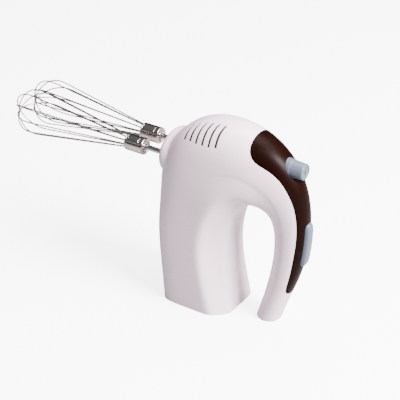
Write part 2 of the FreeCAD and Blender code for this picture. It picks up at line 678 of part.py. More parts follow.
posts = [block("post_left", "motor_axis - post_width / 2", "stator_half_y", PLATE_TOP,
               "post_width", "post_depth",
               "motor_plate_drop - motor_plate - frame_floor_drop"),
         block("post_right", "motor_axis - post_width / 2", "-stator_half_y - post_depth",
               PLATE_TOP, "post_width", "post_depth",
               "motor_plate_drop - motor_plate - frame_floor_drop")]
lower_seat = round_bar("lower_seat", "Z", "motor_axis", "0", PLATE_LOW, "bearing_r",
                       "motor_plate")
sub_part(cut("motor_carrier", joined("plate_and_posts", plate, *posts), lower_seat),
         "motor_frame")
sub_part(cut("low_bush", lower_seat, shaft_way), "lower_bearing")
sub_part(cut("rotor_core", round_bar("rotor_blank", "Z", "motor_axis", "0", STATOR_LOW,
                                     "armature_r", "stator_length"), shaft_bore),
         "armature_core")
for name, low in (("lower", COIL_LOW), ("upper", STATOR_LOW + " + stator_length")):
    end = round_bar("winding_end_" + name, "Z", "motor_axis", "0", low,
                    "armature_r - winding_step", "coil_overhang")
    sub_part(cut("rotor_winding_" + name, end, shaft_bore), "armature_winding_" + name)
ring = round_bar("ring_blank", "Z", "motor_axis", "0", "beater_height - commutator_drop",
                 "commutator_r", "commutator_length")
sub_part(cut("contact_ring", ring, shaft_bore), "commutator")
BRUSH_Z = "beater_height - brush_drop - brush_height / 2"
brush = block("brush", "motor_axis - brush_width / 2", "commutator_r + brush_gap", BRUSH_Z,
              "brush_width", "brush_length", "brush_height")
WAY_LENGTH = "brush_gap + brush_length + spring_room"
holder = block("holder_block", "motor_axis - brush_width / 2 - holder_wall",
               "commutator_r + holder_gap", PLATE_TOP, "brush_width + 2 * holder_wall",
               WAY_LENGTH + " + holder_wall - holder_gap",
               "motor_plate_drop - motor_plate - brush_drop + brush_height / 2 + holder_wall")
way = block("holder_way", "motor_axis - brush_width / 2", "commutator_r", BRUSH_Z,
            "brush_width", WAY_LENGTH, "brush_height")
holder = cut("holder", holder, way)
sub_part(brush, "carbon_brush_left")
sub_part(mirrored("brush_right", brush), "carbon_brush_right")
sub_part(holder, "brush_holder_left")
sub_part(mirrored("holder_right", holder), "brush_holder_right")
FAN_LOW = "beater_height - fan_drop"
hub = round_bar("fan_hub", "Z", "motor_axis", "0", FAN_LOW, "fan_hub_r", "fan_height")
disc = round_bar("fan_disc", "Z", "motor_axis", "0", FAN_LOW, "fan_r", "fan_disc")
blades = []
for k in range(int(dim("fan_blades"))):
    blade = bind(doc.addObject("Part::Box", "fan_blade_%d" % (k + 1)), Width="fan_blade",
                 Height="fan_height", Length="fan_r - fan_tip_gap - fan_hub_r + fan_root")
    turn = Rotation(Z, 360 * k / dim("fan_blades"))
    start = turn.multVec(Vector(dim("fan_hub_r") - dim("fan_root"), -dim("fan_blade") / 2, 0))
    blade.Placement = Placement(Vector(motor_x, 0, dim_value(FAN_LOW)) + start, turn)
    blades.append(blade)
sub_part(cut("fan", joined("fan_solid", hub, disc, *blades), shaft_bore), "cooling_fan")

# ---------------------------------------------------------------- speed and eject control
cross = block("link_cross", "bar_front", "-beater_spacing / 2 - pin_head_d / 2",
              "beater_height - pin_head_d / 2", "bar_thickness",
              "beater_spacing + pin_head_d", "pin_head_d")
riser = block("link_riser", "bar_front", "-rod_d - riser_margin", "beater_height",
              "bar_thickness", "2 * rod_d + 2 * riser_margin",
              "knob_height - beater_height + rod_d + riser_margin")
sub_part(joined("link", cross, riser), "eject_bar")
sub_part(round_bar("push_rod", "X", "bar_front + bar_thickness", "0", "knob_height", "rod_d / 2",
                   "knob_end - knob_cap - bar_front - bar_thickness"), "eject_rod")
knob_length = "knob_end - knob_start"
knob = turned("knob", [
    ("0", "rod_d / 2 + running_gap"), ("0", "knob_r + knob_skirt"),
    ("skirt_length", "knob_r + knob_skirt"), ("skirt_length + skirt_step", "knob_r"),
    (knob_length + " - knob_round", "knob_r - knob_taper"),
    (knob_length, "knob_r - knob_taper - knob_round"), (knob_length, "knob_r - dish_rim"),
    (knob_length + " - dish_depth", "knob_r - dish_rim - dish_slope"),
    (knob_length + " - dish_depth", "0"), (knob_length + " - knob_cap", "0"),
    (knob_length + " - knob_cap", "rod_d / 2 + running_gap")],
    "knob_start", "0", "knob_height")
mark = block("knob_mark", "knob_end - knob_round", "-mark_width / 2", "knob_height + mark_from",
             "2 * knob_round", "mark_width", "mark_length")
sub_part(cut("marked_knob", knob, mark), "speed_knob")
rod_way = round_bar("rod_way", "X", "bar_front", "0", "knob_height", "rod_d / 2 + rod_gap",
                    "knob_end - bar_front")
switch = block("switch_block", "switch_front", "-switch_half", "knob_height - switch_half",
               "switch_length", "2 * switch_half", "2 * switch_half")
sub_part(cut("switch", switch, rod_way), "speed_switch")
wall_plate = bulkhead("switch_wall", "switch_front - bulkhead", "bulkhead",
                      "knob_height - bulkhead_half", "2 * bulkhead_half")
sub_part(cut("switch_wall_bored", wall_plate, rod_way), "switch_bulkhead")

# ---------------------------------------------------------------- pulse button
inside = wall + dim("button_play")
raised = formula("raised_horn", horn(-dim("button_rise")))
behind = formula("behind_horn", horn(inside + dim("button_flange")))
lip = formula("lip_horn", horn(inside))
pad = shared("button_pad", cut("raised_skin", raised, behind),
             stadium("pad_outline", "0", "button_front", BUTTON_REACH))
rim = shared("button_rim", cut("lip_skin", lip, behind),
             stadium("rim_outline", "button_flange", "button_front", BUTTON_REACH))
half_button = joined("half_button", pad, rim)
sub_part(joined("button", half_button, mirrored("half_button_right", half_button)),
         "pulse_button")
SWITCH_LOW = "button_low / 2 + button_high / 2 - pulse_switch_height / 2"
sub_part(block("pulse_block", "pulse_switch_front", "-pulse_switch_half", SWITCH_LOW,
               "pulse_switch_length", "2 * pulse_switch_half", "pulse_switch_height"),
         "pulse_switch")
sub_part(bulkhead("shelf", heel_limit,
                  "pulse_switch_front + pulse_switch_length + shelf_margin - " + heel_limit,
                  SWITCH_LOW + " - bulkhead", "bulkhead"), "switch_shelf")

# ---------------------------------------------------------------- cord entry and electronics
gland = round_bar("gland_tube", "Y", "motor_axis", "body_width / 2 - gland_depth",
                  "gland_height", "gland_r", "gland_depth + seat_gap")
gland_rim = round_bar("gland_rim", "Y", "motor_axis", "body_width / 2 + seat_gap",
                      "gland_height", "gland_flange_r", "gland_flange")
gland_bore = round_bar("gland_bore", "Y", "motor_axis", "body_width / 2 - gland_depth",
                       "gland_height", "gland_bore_r", "gland_depth + seat_gap + gland_flange")
sub_part(cut("gland", joined("gland_solid", gland, gland_rim), gland_bore), "cord_gland")
sub_part(block("board", "board_front", "-board_half_width", PLATE_TOP, "board_thickness",
               "2 * board_half_width", "board_height"), "circuit_board")
# Capacitor, choke and terminal block: near edge, height above the plate, width, depth, height.
COMPONENTS = [("-14", "5", "8", "7", "12"), ("2", "7", "8", "8", "12"),
              ("2", "37", "10", "4", "10")]
for number, (y, rise, width, depth, height) in enumerate(COMPONENTS, start=1):
    sub_part(block("component_%d" % number, "board_front - " + depth, y, PLATE_TOP + " + " + rise,
                   depth, width, height), "board_component_%d" % number)

# ---------------------------------------------------------------- checks and export
doc.recompute()
for obj in doc.Objects:
    if {"Invalid", "Error"} & set(obj.State):
        raise RuntimeError("%s could not be built: %s" % (obj.Label, obj.State))
for obj in parts:
    shape = obj.Shape
    if shape.isNull() or not shape.isValid() or len(shape.Solids) != 1 or shape.Volume <= 0:
        raise RuntimeError("%s is not one sound solid" % obj.Label)
for obj in parts:
    obj.Shape.exportStep("parts/%s.step" % obj.Label)
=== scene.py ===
"""Hand mixer on a white studio floor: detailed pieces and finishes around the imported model."""
import json
import math

import bpy
import numpy as np
from bpy.props import FloatProperty, FloatVectorProperty, IntProperty, PointerProperty
from mathutils import Matrix, Vector


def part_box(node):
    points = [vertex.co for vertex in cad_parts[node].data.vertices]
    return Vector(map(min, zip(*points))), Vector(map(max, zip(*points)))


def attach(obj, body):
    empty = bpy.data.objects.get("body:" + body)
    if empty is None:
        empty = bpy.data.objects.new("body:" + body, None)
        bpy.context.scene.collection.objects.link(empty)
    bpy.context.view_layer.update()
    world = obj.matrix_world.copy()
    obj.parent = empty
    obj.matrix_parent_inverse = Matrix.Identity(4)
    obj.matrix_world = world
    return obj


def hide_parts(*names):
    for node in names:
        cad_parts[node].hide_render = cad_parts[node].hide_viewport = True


bl_info = {
    "name": "Hand Mixer",
    "version": (1, 0, 0),
    "blender": (4, 5, 0),
    "location": "3D View > Sidebar > Mixer",
    "description": "Builds the visible pieces and finishes of a hand mixer",
    "category": "Object",
}

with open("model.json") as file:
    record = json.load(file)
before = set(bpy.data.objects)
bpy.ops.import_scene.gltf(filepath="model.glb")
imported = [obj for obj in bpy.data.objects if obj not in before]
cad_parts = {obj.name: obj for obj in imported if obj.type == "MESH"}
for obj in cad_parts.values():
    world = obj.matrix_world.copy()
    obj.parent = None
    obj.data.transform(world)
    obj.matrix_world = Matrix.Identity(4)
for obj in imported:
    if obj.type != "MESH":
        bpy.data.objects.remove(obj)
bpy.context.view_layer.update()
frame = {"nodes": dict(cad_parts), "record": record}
NODES = frame["nodes"]
SLOTS = {part["node"]: part["material_slot"] for part in frame["record"]["subparts"]}
SIDES = ("left", "right")
LOOPS = 5


# ---------------------------------------------------------------- surfaces
def grid_piece(name, points, ring_closed=False):
    """Closed mesh from a grid of points, rings by sides.

    Each point joins its neighbour along and its neighbour round, the last side meets the
    first, and each open end closes with a fan to the mean of its ring.  The sum of the
    faces' signed volumes tells whether they point outwards; if not, they are all turned.
    """
    rings, sides = points.shape[:2]
    along, side = np.meshgrid(np.arange(rings if ring_closed else rings - 1),
                              np.arange(sides), indexing="ij")
    next_along, next_side = (along + 1) % rings, (side + 1) % sides
    quads = np.stack([along * sides + side, next_along * sides + side,
                      next_along * sides + next_side, along * sides + next_side], -1)
    quads = quads.reshape(-1, 4)
    u = np.stack([along, along + 1, along + 1, along], -1).reshape(-1, 4) / (rings - 1)
    v = np.stack([side, side, side + 1, side + 1], -1).reshape(-1, 4) / sides
    places = points.reshape(-1, 3)
    fans, fan_u, fan_v = np.zeros((0, 3), int), np.zeros((0, 3)), np.zeros((0, 3))
    if not ring_closed:
        here = np.arange(sides)
        there = (here + 1) % sides
        far = (rings - 1) * sides
        hub = np.full(sides, len(places))
        fans = np.vstack([np.stack([here, there, hub], -1),
                          np.stack([there + far, here + far, hub + 1], -1)])
        fan_u = np.repeat([[0.0, 0.0, 0.0], [1.0, 1.0, 1.0]], sides, axis=0)
        fan_v = np.tile(np.stack([here, here + 1, here + 0.5], -1) / sides, (2, 1))
        places = np.vstack([places, points[0].mean(0), points[-1].mean(0)])
    triangles = np.vstack([quads[:, [0, 1, 2]], quads[:, [0, 2, 3]], fans])
    corner = places[triangles]
    if np.einsum("ij,ij->i", corner[:, 0], np.cross(corner[:, 1], corner[:, 2])).sum() < 0:
        quads, u, v = quads[:, ::-1], u[:, ::-1], v[:, ::-1]
        fans, fan_u, fan_v = fans[:, ::-1], fan_u[:, ::-1], fan_v[:, ::-1]
    mesh = bpy.data.meshes.new(name)
    mesh.from_pydata(places, [], quads.tolist() + fans.tolist())
    layer = mesh.uv_layers.new(name="UVMap")
    layer.data.foreach_set("uv", np.stack([np.r_[u.ravel(), fan_u.ravel()],
                                           np.r_[v.ravel(), fan_v.ravel()]], -1).ravel())
    mesh.shade_smooth()
    mesh.validate()
    piece = bpy.data.objects.new(name, mesh)
    bpy.context.scene.collection.objects.link(piece)
    return piece


def eased(corners, radii, steps=7):
    """Outline whose corners are eased.

    Each corner becomes a quadratic curve, from a point one radius before it to a point one
    radius after it, with one more point a little way along each neighbouring run.
    """
    corners = np.array(corners, float)
    radii = np.array(radii, float)[:, None]
    runs = np.roll(corners, -1, 0) - corners
    runs /= np.maximum(np.linalg.norm(runs, axis=1, keepdims=True), 1e-12)
    start, end = corners - np.roll(runs, 1, 0) * radii, corners + runs * radii
    t = np.linspace(0, 1, steps)[None, :, None]
    bend = ((1 - t) ** 2 * start[:, None] + 2 * t * (1 - t) * corners[:, None]
            + t ** 2 * end[:, None])
    lead, tail = start + (start - corners) * 0.3, end + (end - corners) * 0.3
    outline = np.concatenate([lead[:, None], bend, tail[:, None]], 1).reshape(-1, 2)
    moved = np.linalg.norm(np.diff(outline, axis=0), axis=1) > 1e-7
    return outline[np.r_[True, moved]]


def turned_piece(name, outline, centre, axis="X", sides=80, ring_closed=False, relief=None):
    """Surface of revolution.

    Every (distance, radius) point of the outline goes once round the axis: the radius times
    the cosine and sine of the angle, across the axis, at its distance along the axis.
    A relief adds to the distance as a function of distance, radius and angle.
    """
    angle = np.linspace(0, 2 * np.pi, sides, endpoint=False)[None]
    along, radius = outline[:, :1] + 0 * angle, outline[:, 1:] + 0 * angle
    if relief is not None:
        along = along + relief(along, radius, angle + 0 * along)
    across, up = radius * np.cos(angle), radius * np.sin(angle)
    if axis == "X":
        points = np.stack([along, across, up], -1)
    else:
        points = np.stack([up, along, across], -1)
    return grid_piece(name, points + np.array(centre), ring_closed)


def wire_piece(name, path, flat_normal, radius, sides=14):
    """Round wire along a flat path.

    At each point of the path a circle lies across its direction, spanned by the path's flat
    normal and by the cross product of direction and normal.
    """
    ahead = np.gradient(path, axis=0)
    ahead /= np.linalg.norm(ahead, axis=1, keepdims=True)
    across = np.cross(ahead, flat_normal)
    angle = np.linspace(0, 2 * np.pi, sides, endpoint=False)[None, :, None]
    ring = np.cos(angle) * across[:, None] + np.sin(angle) * np.array(flat_normal)
    return grid_piece(name, path[:, None] + radius * ring)


def whisk_curve(tip, hub, radius, root, sink):
    """Centre line of one whisk wire as (along, out) points.

    A straight leg leaves the hub at the root's distance from the axis and meets a circle
    that ends at the tip; the other leg mirrors it.  The line is then spaced evenly and
    averaged with its neighbours under a raised cosine, so that legs flow into the bow.
    """
    centre = tip + radius
    reach = math.hypot(hub - centre, root)
    meet = math.atan2(root, hub - centre) + math.acos(radius / reach)
    turn = np.linspace(meet, 2 * np.pi - meet, 160)
    bow = np.stack([centre + radius * np.cos(turn), radius * np.sin(turn)], -1)
    leg = np.array([hub, root]) - bow[0]
    start = bow[0] + leg * (1 + sink / np.linalg.norm(leg))
    leg_points = start + (bow[0] - start) * np.linspace(0, 1, 120, endpoint=False)[:, None]
    line = np.vstack([leg_points, bow, leg_points[::-1] * [1, -1]])
    length = np.r_[0, np.cumsum(np.linalg.norm(np.diff(line, axis=0), axis=1))]
    even = np.linspace(0, length[-1], 241)
    line = np.stack([np.interp(even, length, line[:, k]) for k in (0, 1)], -1)
    window = np.hanning(19)
    window /= window.sum()
    pad = len(window) // 2
    before = line[0] - (line[1] - line[0]) * np.arange(pad, 0, -1)[:, None]
    after = line[-1] + (line[-1] - line[-2]) * np.arange(1, pad + 1)[:, None]
    longer = np.vstack([before, line, after])
    return np.stack([np.convolve(longer[:, k], window, "valid") for k in (0, 1)], -1)


def superellipse(t, power):
    """Half width of a super-ellipse at t, from -1 to 1: the power-th root of 1 - |t|^power."""
    return np.maximum(1 - np.abs(t) ** power, 0) ** (1 / power)


# ---------------------------------------------------------------- shader helpers
def add_node(tree, kind, inputs=None, **settings):
    """Adds a node with its settings; an input gets a link from a socket, or a value."""
    made = tree.nodes.new(kind)
    for key, value in settings.items():
        setattr(made, key, value)
    for key, value in (inputs or {}).items():
        if isinstance(value, bpy.types.NodeSocket):
            tree.links.new(value, made.inputs[key])
        else:
            made.inputs[key].default_value = value
    return made


def new_group(name, inputs, outputs):
    """Empty shader node group with named inputs and outputs, or None if it is there already."""
    if name in bpy.data.node_groups:
        return None
    tree = bpy.data.node_groups.new(name, "ShaderNodeTree")
    for label, kind, value in inputs:
        socket = tree.interface.new_socket(name=label, in_out="INPUT",
                                           socket_type="NodeSocket" + kind)
        socket.default_value = value
    for label, kind in outputs:
        tree.interface.new_socket(name=label, in_out="OUTPUT", socket_type="NodeSocket" + kind)
    return tree


def mixed(tree, share, first, second):
    """Colour between two colours."""
    return add_node(tree, "ShaderNodeMix", {0: share, 6: first, 7: second},
                    data_type="RGBA").outputs[2]


def ranged(tree, value, low, high, to_low=0.0, to_high=1.0):
    """Value carried from one range to another and held at its ends."""
    return add_node(tree, "ShaderNodeMapRange", {
        "Value": value, "From Min": low, "From Max": high, "To Min": to_low,
        "To Max": to_high}).outputs["Result"]


def maths(tree, operation, first, second=0.0):
    """Result of one arithmetic operation."""
    return add_node(tree, "ShaderNodeMath", {0: first, 1: second},
                    operation=operation).outputs[0]


def moulded_skin():
    """Moulded plastic: mottled colour, rubbed patches, hairline marks and a fine grain."""
    tree = new_group("Moulded Skin", [
        ("Colour", "Color", (0.8, 0.8, 0.8, 1)), ("Shade", "Color", (0.7, 0.7, 0.7, 1)),
        ("Mark Colour", "Color", (0.9, 0.9, 0.9, 1)), ("Mottle Scale", "Float", 16.0),
        ("Grain Scale", "Float", 2400.0), ("Roughness", "Float", 0.4),
        ("Roughness Swing", "Float", 0.08), ("Marks", "Float", 0.2)],
        [("Colour", "Color"), ("Roughness", "Float"), ("Height", "Float")])
    if tree is None:
        return
    given = add_node(tree, "NodeGroupInput").outputs
    place = add_node(tree, "ShaderNodeTexCoord").outputs["Object"]
    mottle = add_node(tree, "ShaderNodeTexNoise", {
        "Vector": place, "Scale": given["Mottle Scale"], "Detail": 4.0,
        "Roughness": 0.55}).outputs["Fac"]
    grain = add_node(tree, "ShaderNodeTexNoise", {
        "Vector": place, "Scale": given["Grain Scale"], "Detail": 2.0}).outputs["Fac"]
    drawn = add_node(tree, "ShaderNodeMapping", {
        "Vector": place, "Rotation": (0.5, 0.3, 0.9), "Scale": (1.0, 30.0, 2.0)})
    hair = add_node(tree, "ShaderNodeTexNoise", {
        "Vector": drawn.outputs[0], "Scale": 60.0, "Detail": 3.0}).outputs["Fac"]
    patch = add_node(tree, "ShaderNodeTexNoise", {
        "Vector": place, "Scale": 35.0, "Detail": 1.0}).outputs["Fac"]
    hair = maths(tree, "MULTIPLY", ranged(tree, hair, 0.64, 0.72), ranged(tree, patch, 0.5, 0.7))
    hair = maths(tree, "MULTIPLY", hair, given["Marks"])
    colour = mixed(tree, ranged(tree, mottle, 0.36, 0.66), given["Colour"], given["Shade"])
    colour = mixed(tree, hair, colour, given["Mark Colour"])
    swing = maths(tree, "MULTIPLY", ranged(tree, mottle, 0.3, 0.7, -1.0, 1.0),
                  given["Roughness Swing"])
    rough = maths(tree, "ADD", maths(tree, "ADD", given["Roughness"], swing),
                  maths(tree, "MULTIPLY", hair, 0.25))
    height = maths(tree, "ADD", grain, maths(tree, "MULTIPLY", hair, -0.6))
    add_node(tree, "NodeGroupOutput", {"Colour": colour, "Roughness": rough, "Height": height})


def drawn_metal():
    """Turned or drawn metal: fine lines where the stretch is high, and cloudy polish."""
    tree = new_group("Drawn Metal", [
        ("Vector", "Vector", (0, 0, 0)), ("Stretch", "Vector", (4000, 60, 60)),
        ("Colour", "Color", (0.7, 0.7, 0.7, 1)), ("Shade", "Color", (0.5, 0.5, 0.5, 1)),
        ("Roughness", "Float", 0.15), ("Roughness Swing", "Float", 0.08)],
        [("Colour", "Color"), ("Roughness", "Float"), ("Height", "Float")])
    if tree is None:
        return
    given = add_node(tree, "NodeGroupInput").outputs
    place = add_node(tree, "ShaderNodeVectorMath", {0: given["Vector"], 1: given["Stretch"]},
                     operation="MULTIPLY").outputs[0]
    lines = add_node(tree, "ShaderNodeTexNoise", {
        "Vector": place, "Scale": 1.0, "Detail": 3.0}).outputs["Fac"]
    cloud = add_node(tree, "ShaderNodeTexNoise", {
        "Vector": given["Vector"], "Scale": 90.0, "Detail": 3.0}).outputs["Fac"]
    both = maths(tree, "ADD", maths(tree, "MULTIPLY", lines, 0.55),
                 maths(tree, "MULTIPLY", cloud, 0.45))
    share = ranged(tree, both, 0.38, 0.62)
    swing = maths(tree, "MULTIPLY", ranged(tree, both, 0.35, 0.65, -1.0, 1.0),
                  given["Roughness Swing"])
    add_node(tree, "NodeGroupOutput", {
        "Colour": mixed(tree, share, given["Colour"], given["Shade"]),
        "Roughness": maths(tree, "ADD", given["Roughness"], swing), "Height": lines})


def stacked_bands():
    """Even bands across one direction, as laid wires or stacked sheets have."""
    tree = new_group("Stacked Bands", [
        ("Direction", "Vector", (0, 0, 1)), ("Pitch", "Float", 0.0006),
        ("Colour", "Color", (0.7, 0.3, 0.15, 1)), ("Shade", "Color", (0.3, 0.1, 0.05, 1)),
        ("Roughness", "Float", 0.35), ("Roughness Swing", "Float", 0.1)],
        [("Colour", "Color"), ("Roughness", "Float"), ("Height", "Float")])
    if tree is None:
        return
    given = add_node(tree, "NodeGroupInput").outputs
    place = add_node(tree, "ShaderNodeTexCoord").outputs["Object"]
    wander = add_node(tree, "ShaderNodeTexNoise", {
        "Vector": place, "Scale": 160.0, "Detail": 2.0}).outputs["Fac"]
    far = add_node(tree, "ShaderNodeVectorMath", {0: place, 1: given["Direction"]},
                   operation="DOT_PRODUCT").outputs["Value"]
    turns = maths(tree, "DIVIDE", far, given["Pitch"])
    turns = maths(tree, "ADD", turns, maths(tree, "MULTIPLY", wander, 0.7))
    crest = maths(tree, "SINE", maths(tree, "MULTIPLY", turns, 2 * math.pi))
    share = ranged(tree, crest, -0.9, 0.3)
    swing = maths(tree, "MULTIPLY", ranged(tree, wander, 0.3, 0.7, -1.0, 1.0),
                  given["Roughness Swing"])
    add_node(tree, "NodeGroupOutput", {
        "Colour": mixed(tree, share, given["Shade"], given["Colour"]),
        "Roughness": maths(tree, "ADD", given["Roughness"], swing), "Height": crest})


def rgba(colour):
    """Colour with full opacity."""
    return (*colour, 1.0)


def dressed(name, group_name, values, bump, vector=None, **shader):
    """Material whose colour, roughness and relief come from a group, the rest from shader."""
    if name in bpy.data.materials:
        return bpy.data.materials[name]
    {"Moulded Skin": moulded_skin, "Drawn Metal": drawn_metal,
     "Stacked Bands": stacked_bands}[group_name]()
    material = bpy.data.materials.new(name)
    material.use_nodes = True
    tree = material.node_tree
    surface = tree.nodes["Principled BSDF"]
    for key, value in shader.items():
        surface.inputs[key.replace("_", " ")].default_value = value
    group = add_node(tree, "ShaderNodeGroup", node_tree=bpy.data.node_groups[group_name])
    for key, value in values.items():
        group.inputs[key].default_value = value
    if vector == "UV":
        tree.links.new(add_node(tree, "ShaderNodeUVMap", uv_map="UVMap").outputs[0],
                       group.inputs["Vector"])
    elif vector == "Object":
        tree.links.new(add_node(tree, "ShaderNodeTexCoord").outputs["Object"],
                       group.inputs["Vector"])
    tree.links.new(group.outputs["Colour"], surface.inputs["Base Color"])
    tree.links.new(group.outputs["Roughness"], surface.inputs["Roughness"])
    relief = add_node(tree, "ShaderNodeBump", {
        "Height": group.outputs["Height"], "Strength": bump[0], "Distance": bump[1]})
    tree.links.new(relief.outputs["Normal"], surface.inputs["Normal"])
    return material


def plastic(name, colour, shade, rough, grain=2400.0, marks=0.15, relief=0.12, **shader):
    """Moulded plastic in one colour family."""
    mark = tuple(min(1.0, 0.35 * c + 0.5) for c in colour)
    return dressed(name, "Moulded Skin", {
        "Colour": rgba(colour), "Shade": rgba(shade), "Mark Colour": rgba(mark),
        "Grain Scale": grain, "Roughness": rough, "Marks": marks}, (relief, 0.0001), **shader)


def metal(name, colour, shade, rough, stretch, vector="Object", relief=0.05, swing=0.06):
    """Bare or plated metal."""
    return dressed(name, "Drawn Metal", {
        "Colour": rgba(colour), "Shade": rgba(shade), "Roughness": rough, "Stretch": stretch,
        "Roughness Swing": swing}, (relief, 0.00005), vector, Metallic=1.0)


def finish_for(slot):
    """Material for one of the mixer's finishes."""
    paint = bpy.context.scene.mixer_paint
    if slot == "casing_white":
        return plastic("Gloss white casing", paint.casing, paint.casing_shade, 0.3, marks=0.1,
                       relief=0.08, Coat_Weight=0.25, Coat_Roughness=0.12)
    if slot == "base_white":
        return plastic("Base plate white", paint.casing, paint.casing_shade, 0.5, grain=1400.0)
    if slot == "panel_brown":
        return plastic("Dark brown grip panel", paint.panel, paint.panel_shade, 0.36, marks=0.03,
                       relief=0.15, Specular_IOR_Level=0.04)
    if slot == "control_grey":
        return plastic("Blue-grey controls", paint.control, paint.control_shade, 0.33,
                       marks=0.1, Specular_IOR_Level=0.4)
    if slot == "wire_chrome":
        return metal("Bright whisk wire", (0.4, 0.385, 0.375), (0.26, 0.25, 0.245), 0.2,
                     (400, 14, 1), "UV")
    if slot == "ferrule_chrome":
        return metal("Chromed ferrule", (0.66, 0.62, 0.6), (0.5, 0.46, 0.44), 0.12,
                     (5000, 90, 90))
    if slot == "shaft_steel":
        return metal("Ground shaft steel", (0.6, 0.59, 0.58), (0.42, 0.41, 0.4), 0.2,
                     (5000, 90, 90))
    if slot == "hub_grey":
        return plastic("Hub grey", (0.12, 0.12, 0.125), (0.08, 0.08, 0.085), 0.55)
    if slot == "frame_plastic":
        return plastic("Frame plastic", (0.13, 0.13, 0.14), (0.09, 0.09, 0.1), 0.6,
                       grain=1200.0, relief=0.3)
    if slot == "gear_nylon":
        return plastic("Gear nylon", (0.72, 0.68, 0.56), (0.62, 0.58, 0.46), 0.42)
    if slot == "bearing_bronze":
        return metal("Bearing bronze", (0.6, 0.38, 0.18), (0.42, 0.26, 0.12), 0.38,
                     (900, 900, 900), relief=0.3)
    if slot == "core_steel":
        return dressed("Stacked core steel", "Stacked Bands", {
            "Colour": (0.3, 0.31, 0.33, 1), "Shade": (0.12, 0.12, 0.13, 1),
            "Pitch": 0.0007}, (0.4, 0.0001), Metallic=0.9)
    if slot == "copper":
        return dressed("Enamelled winding", "Stacked Bands", {
            "Direction": (0.62, 0.2, 0.76), "Pitch": 0.0008}, (0.6, 0.0002), Metallic=0.8)
    if slot == "board_green":
        return dressed("Circuit board", "Stacked Bands", {
            "Direction": (0.0, 0.8, 0.6), "Pitch": 0.004, "Colour": (0.02, 0.12, 0.05, 1),
            "Shade": (0.03, 0.2, 0.08, 1), "Roughness": 0.3}, (0.1, 0.0001))
    if slot == "black_plastic":
        return plastic("Black plastic", (0.02, 0.02, 0.022), (0.012, 0.012, 0.013), 0.45)
    if slot == "gland_rubber":
        return plastic("Cord collar rubber", (0.5, 0.48, 0.49), (0.42, 0.4, 0.41), 0.62,
                       grain=1800.0, relief=0.3)
    raise ValueError("no finish is known for slot %s" % slot)


def dress(piece, slot, body, replaced=()):
    """Gives a piece its material, its body and the nodes that it stands for."""
    piece.data.materials.append(finish_for(slot))
    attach(piece, body)
    if replaced:
        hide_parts(*replaced)


def dress_nodes(slots):
    """Gives every node of these slots its finish, one material in each of its slots."""
    for name, slot in SLOTS.items():
        if slot in slots:
            holder = NODES[name]
            for index in range(len(holder.material_slots)):
                holder.material_slots[index].material = finish_for(slot)


def box_of(name):
    """Lowest and highest corner of a node, as arrays."""
    low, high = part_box(name)
    return np.array(low), np.array(high)


def half_height(name):
    """Half of a node's height, which is the radius of a bar along X."""
    low, high = box_of(name)
    return (high[2] - low[2]) / 2


def vertices_of(name):
    """Places and outward directions of a node's vertices, as arrays."""
    mesh = NODES[name].data
    places, facing = np.empty(len(mesh.vertices) * 3), np.empty(len(mesh.vertices) * 3)
    mesh.vertices.foreach_get("co", places)
    mesh.vertices.foreach_get("normal", facing)
    return places.reshape(-1, 3), facing.reshape(-1, 3)


# ---------------------------------------------------------------- user settings
class MixerSizes(bpy.types.PropertyGroup):
    """Sizes of the visible pieces."""

    wire: FloatProperty(name="Wire", description="Diameter of the whisk wire",
                        default=0.0013, min=0.0005, max=0.003, unit="LENGTH")
    whisk_radius: FloatProperty(name="Whisk radius", description="Widest reach of a whisk wire",
                                default=0.024, min=0.01, max=0.05, unit="LENGTH")
    wire_root: FloatProperty(name="Wire root",
                             description="Distance of a wire from its whisk's axis at the hub",
                             default=0.0052, min=0.002, max=0.01, unit="LENGTH")
    ferrule_wall: FloatProperty(name="Ferrule wall", description="Thickness of a ferrule",
                                default=0.0017, min=0.0005, max=0.004, unit="LENGTH")
    outlet_lip: FloatProperty(name="Outlet lip",
                              description="How far the lip round a shaft outlet stands proud",
                              default=0.0006, min=0.0002, max=0.002, unit="LENGTH")
    button_edge: FloatProperty(name="Button squareness",
                               description="Power of the button's rounded outline",
                               default=4.5, min=2.0, max=12.0)
    # Depth of the dark sheet under the crown, which is painted shade that darkens the cooling
    # slots from below.
    shade_sheet_depth: FloatProperty(name="Shade sheet depth",
                                description="Depth of the dark screen under the crown",
                                default=0.0004, min=0.0003, max=0.01, unit="LENGTH")
    knob_flutes: IntProperty(name="Knob flutes", description="Shallow flutes round the knob",
                             default=28, min=0, max=60)


class MixerPaint(bpy.types.PropertyGroup):
    """Colours of the mixer and of its floor."""

    casing: FloatVectorProperty(name="Casing", description="Colour of the white casing",
                                subtype="COLOR", default=(0.80, 0.68, 0.775), min=0, max=1)
    casing_shade: FloatVectorProperty(name="Casing shade",
                                      description="Second tone in the casing's mottle",
                                      subtype="COLOR", default=(0.78, 0.66, 0.76), min=0, max=1)
    panel: FloatVectorProperty(name="Grip panel", description="Colour of the grip panel",
                               subtype="COLOR", default=(0.0034, 0.0009, 0.0005), min=0, max=1)
    panel_shade: FloatVectorProperty(name="Grip panel shade",
                                     description="Second tone in the panel's mottle",
                                     subtype="COLOR", default=(0.0056, 0.0013, 0.0007),
                                     min=0, max=1)
    control: FloatVectorProperty(name="Controls", description="Colour of knob and button",
                                 subtype="COLOR", default=(0.085, 0.11, 0.148), min=0, max=1)
    control_shade: FloatVectorProperty(name="Controls shade",
                                       description="Second tone in the controls' mottle",
                                       subtype="COLOR", default=(0.075, 0.098, 0.134),
                                       min=0, max=1)
    floor: FloatVectorProperty(name="Floor", description="Colour of the studio floor",
                               subtype="COLOR", default=(0.3, 0.3, 0.3), min=0, max=1)


# ---------------------------------------------------------------- operators
class MIXER_OT_casing(bpy.types.Operator):
    """Finishes the two casing halves, the nose cap and the base plates"""

    bl_idname = "mixer.casing"
    bl_label = "Casing"

    def execute(self, context):
        dress_nodes({"casing_white", "base_white"})
        return {"FINISHED"}


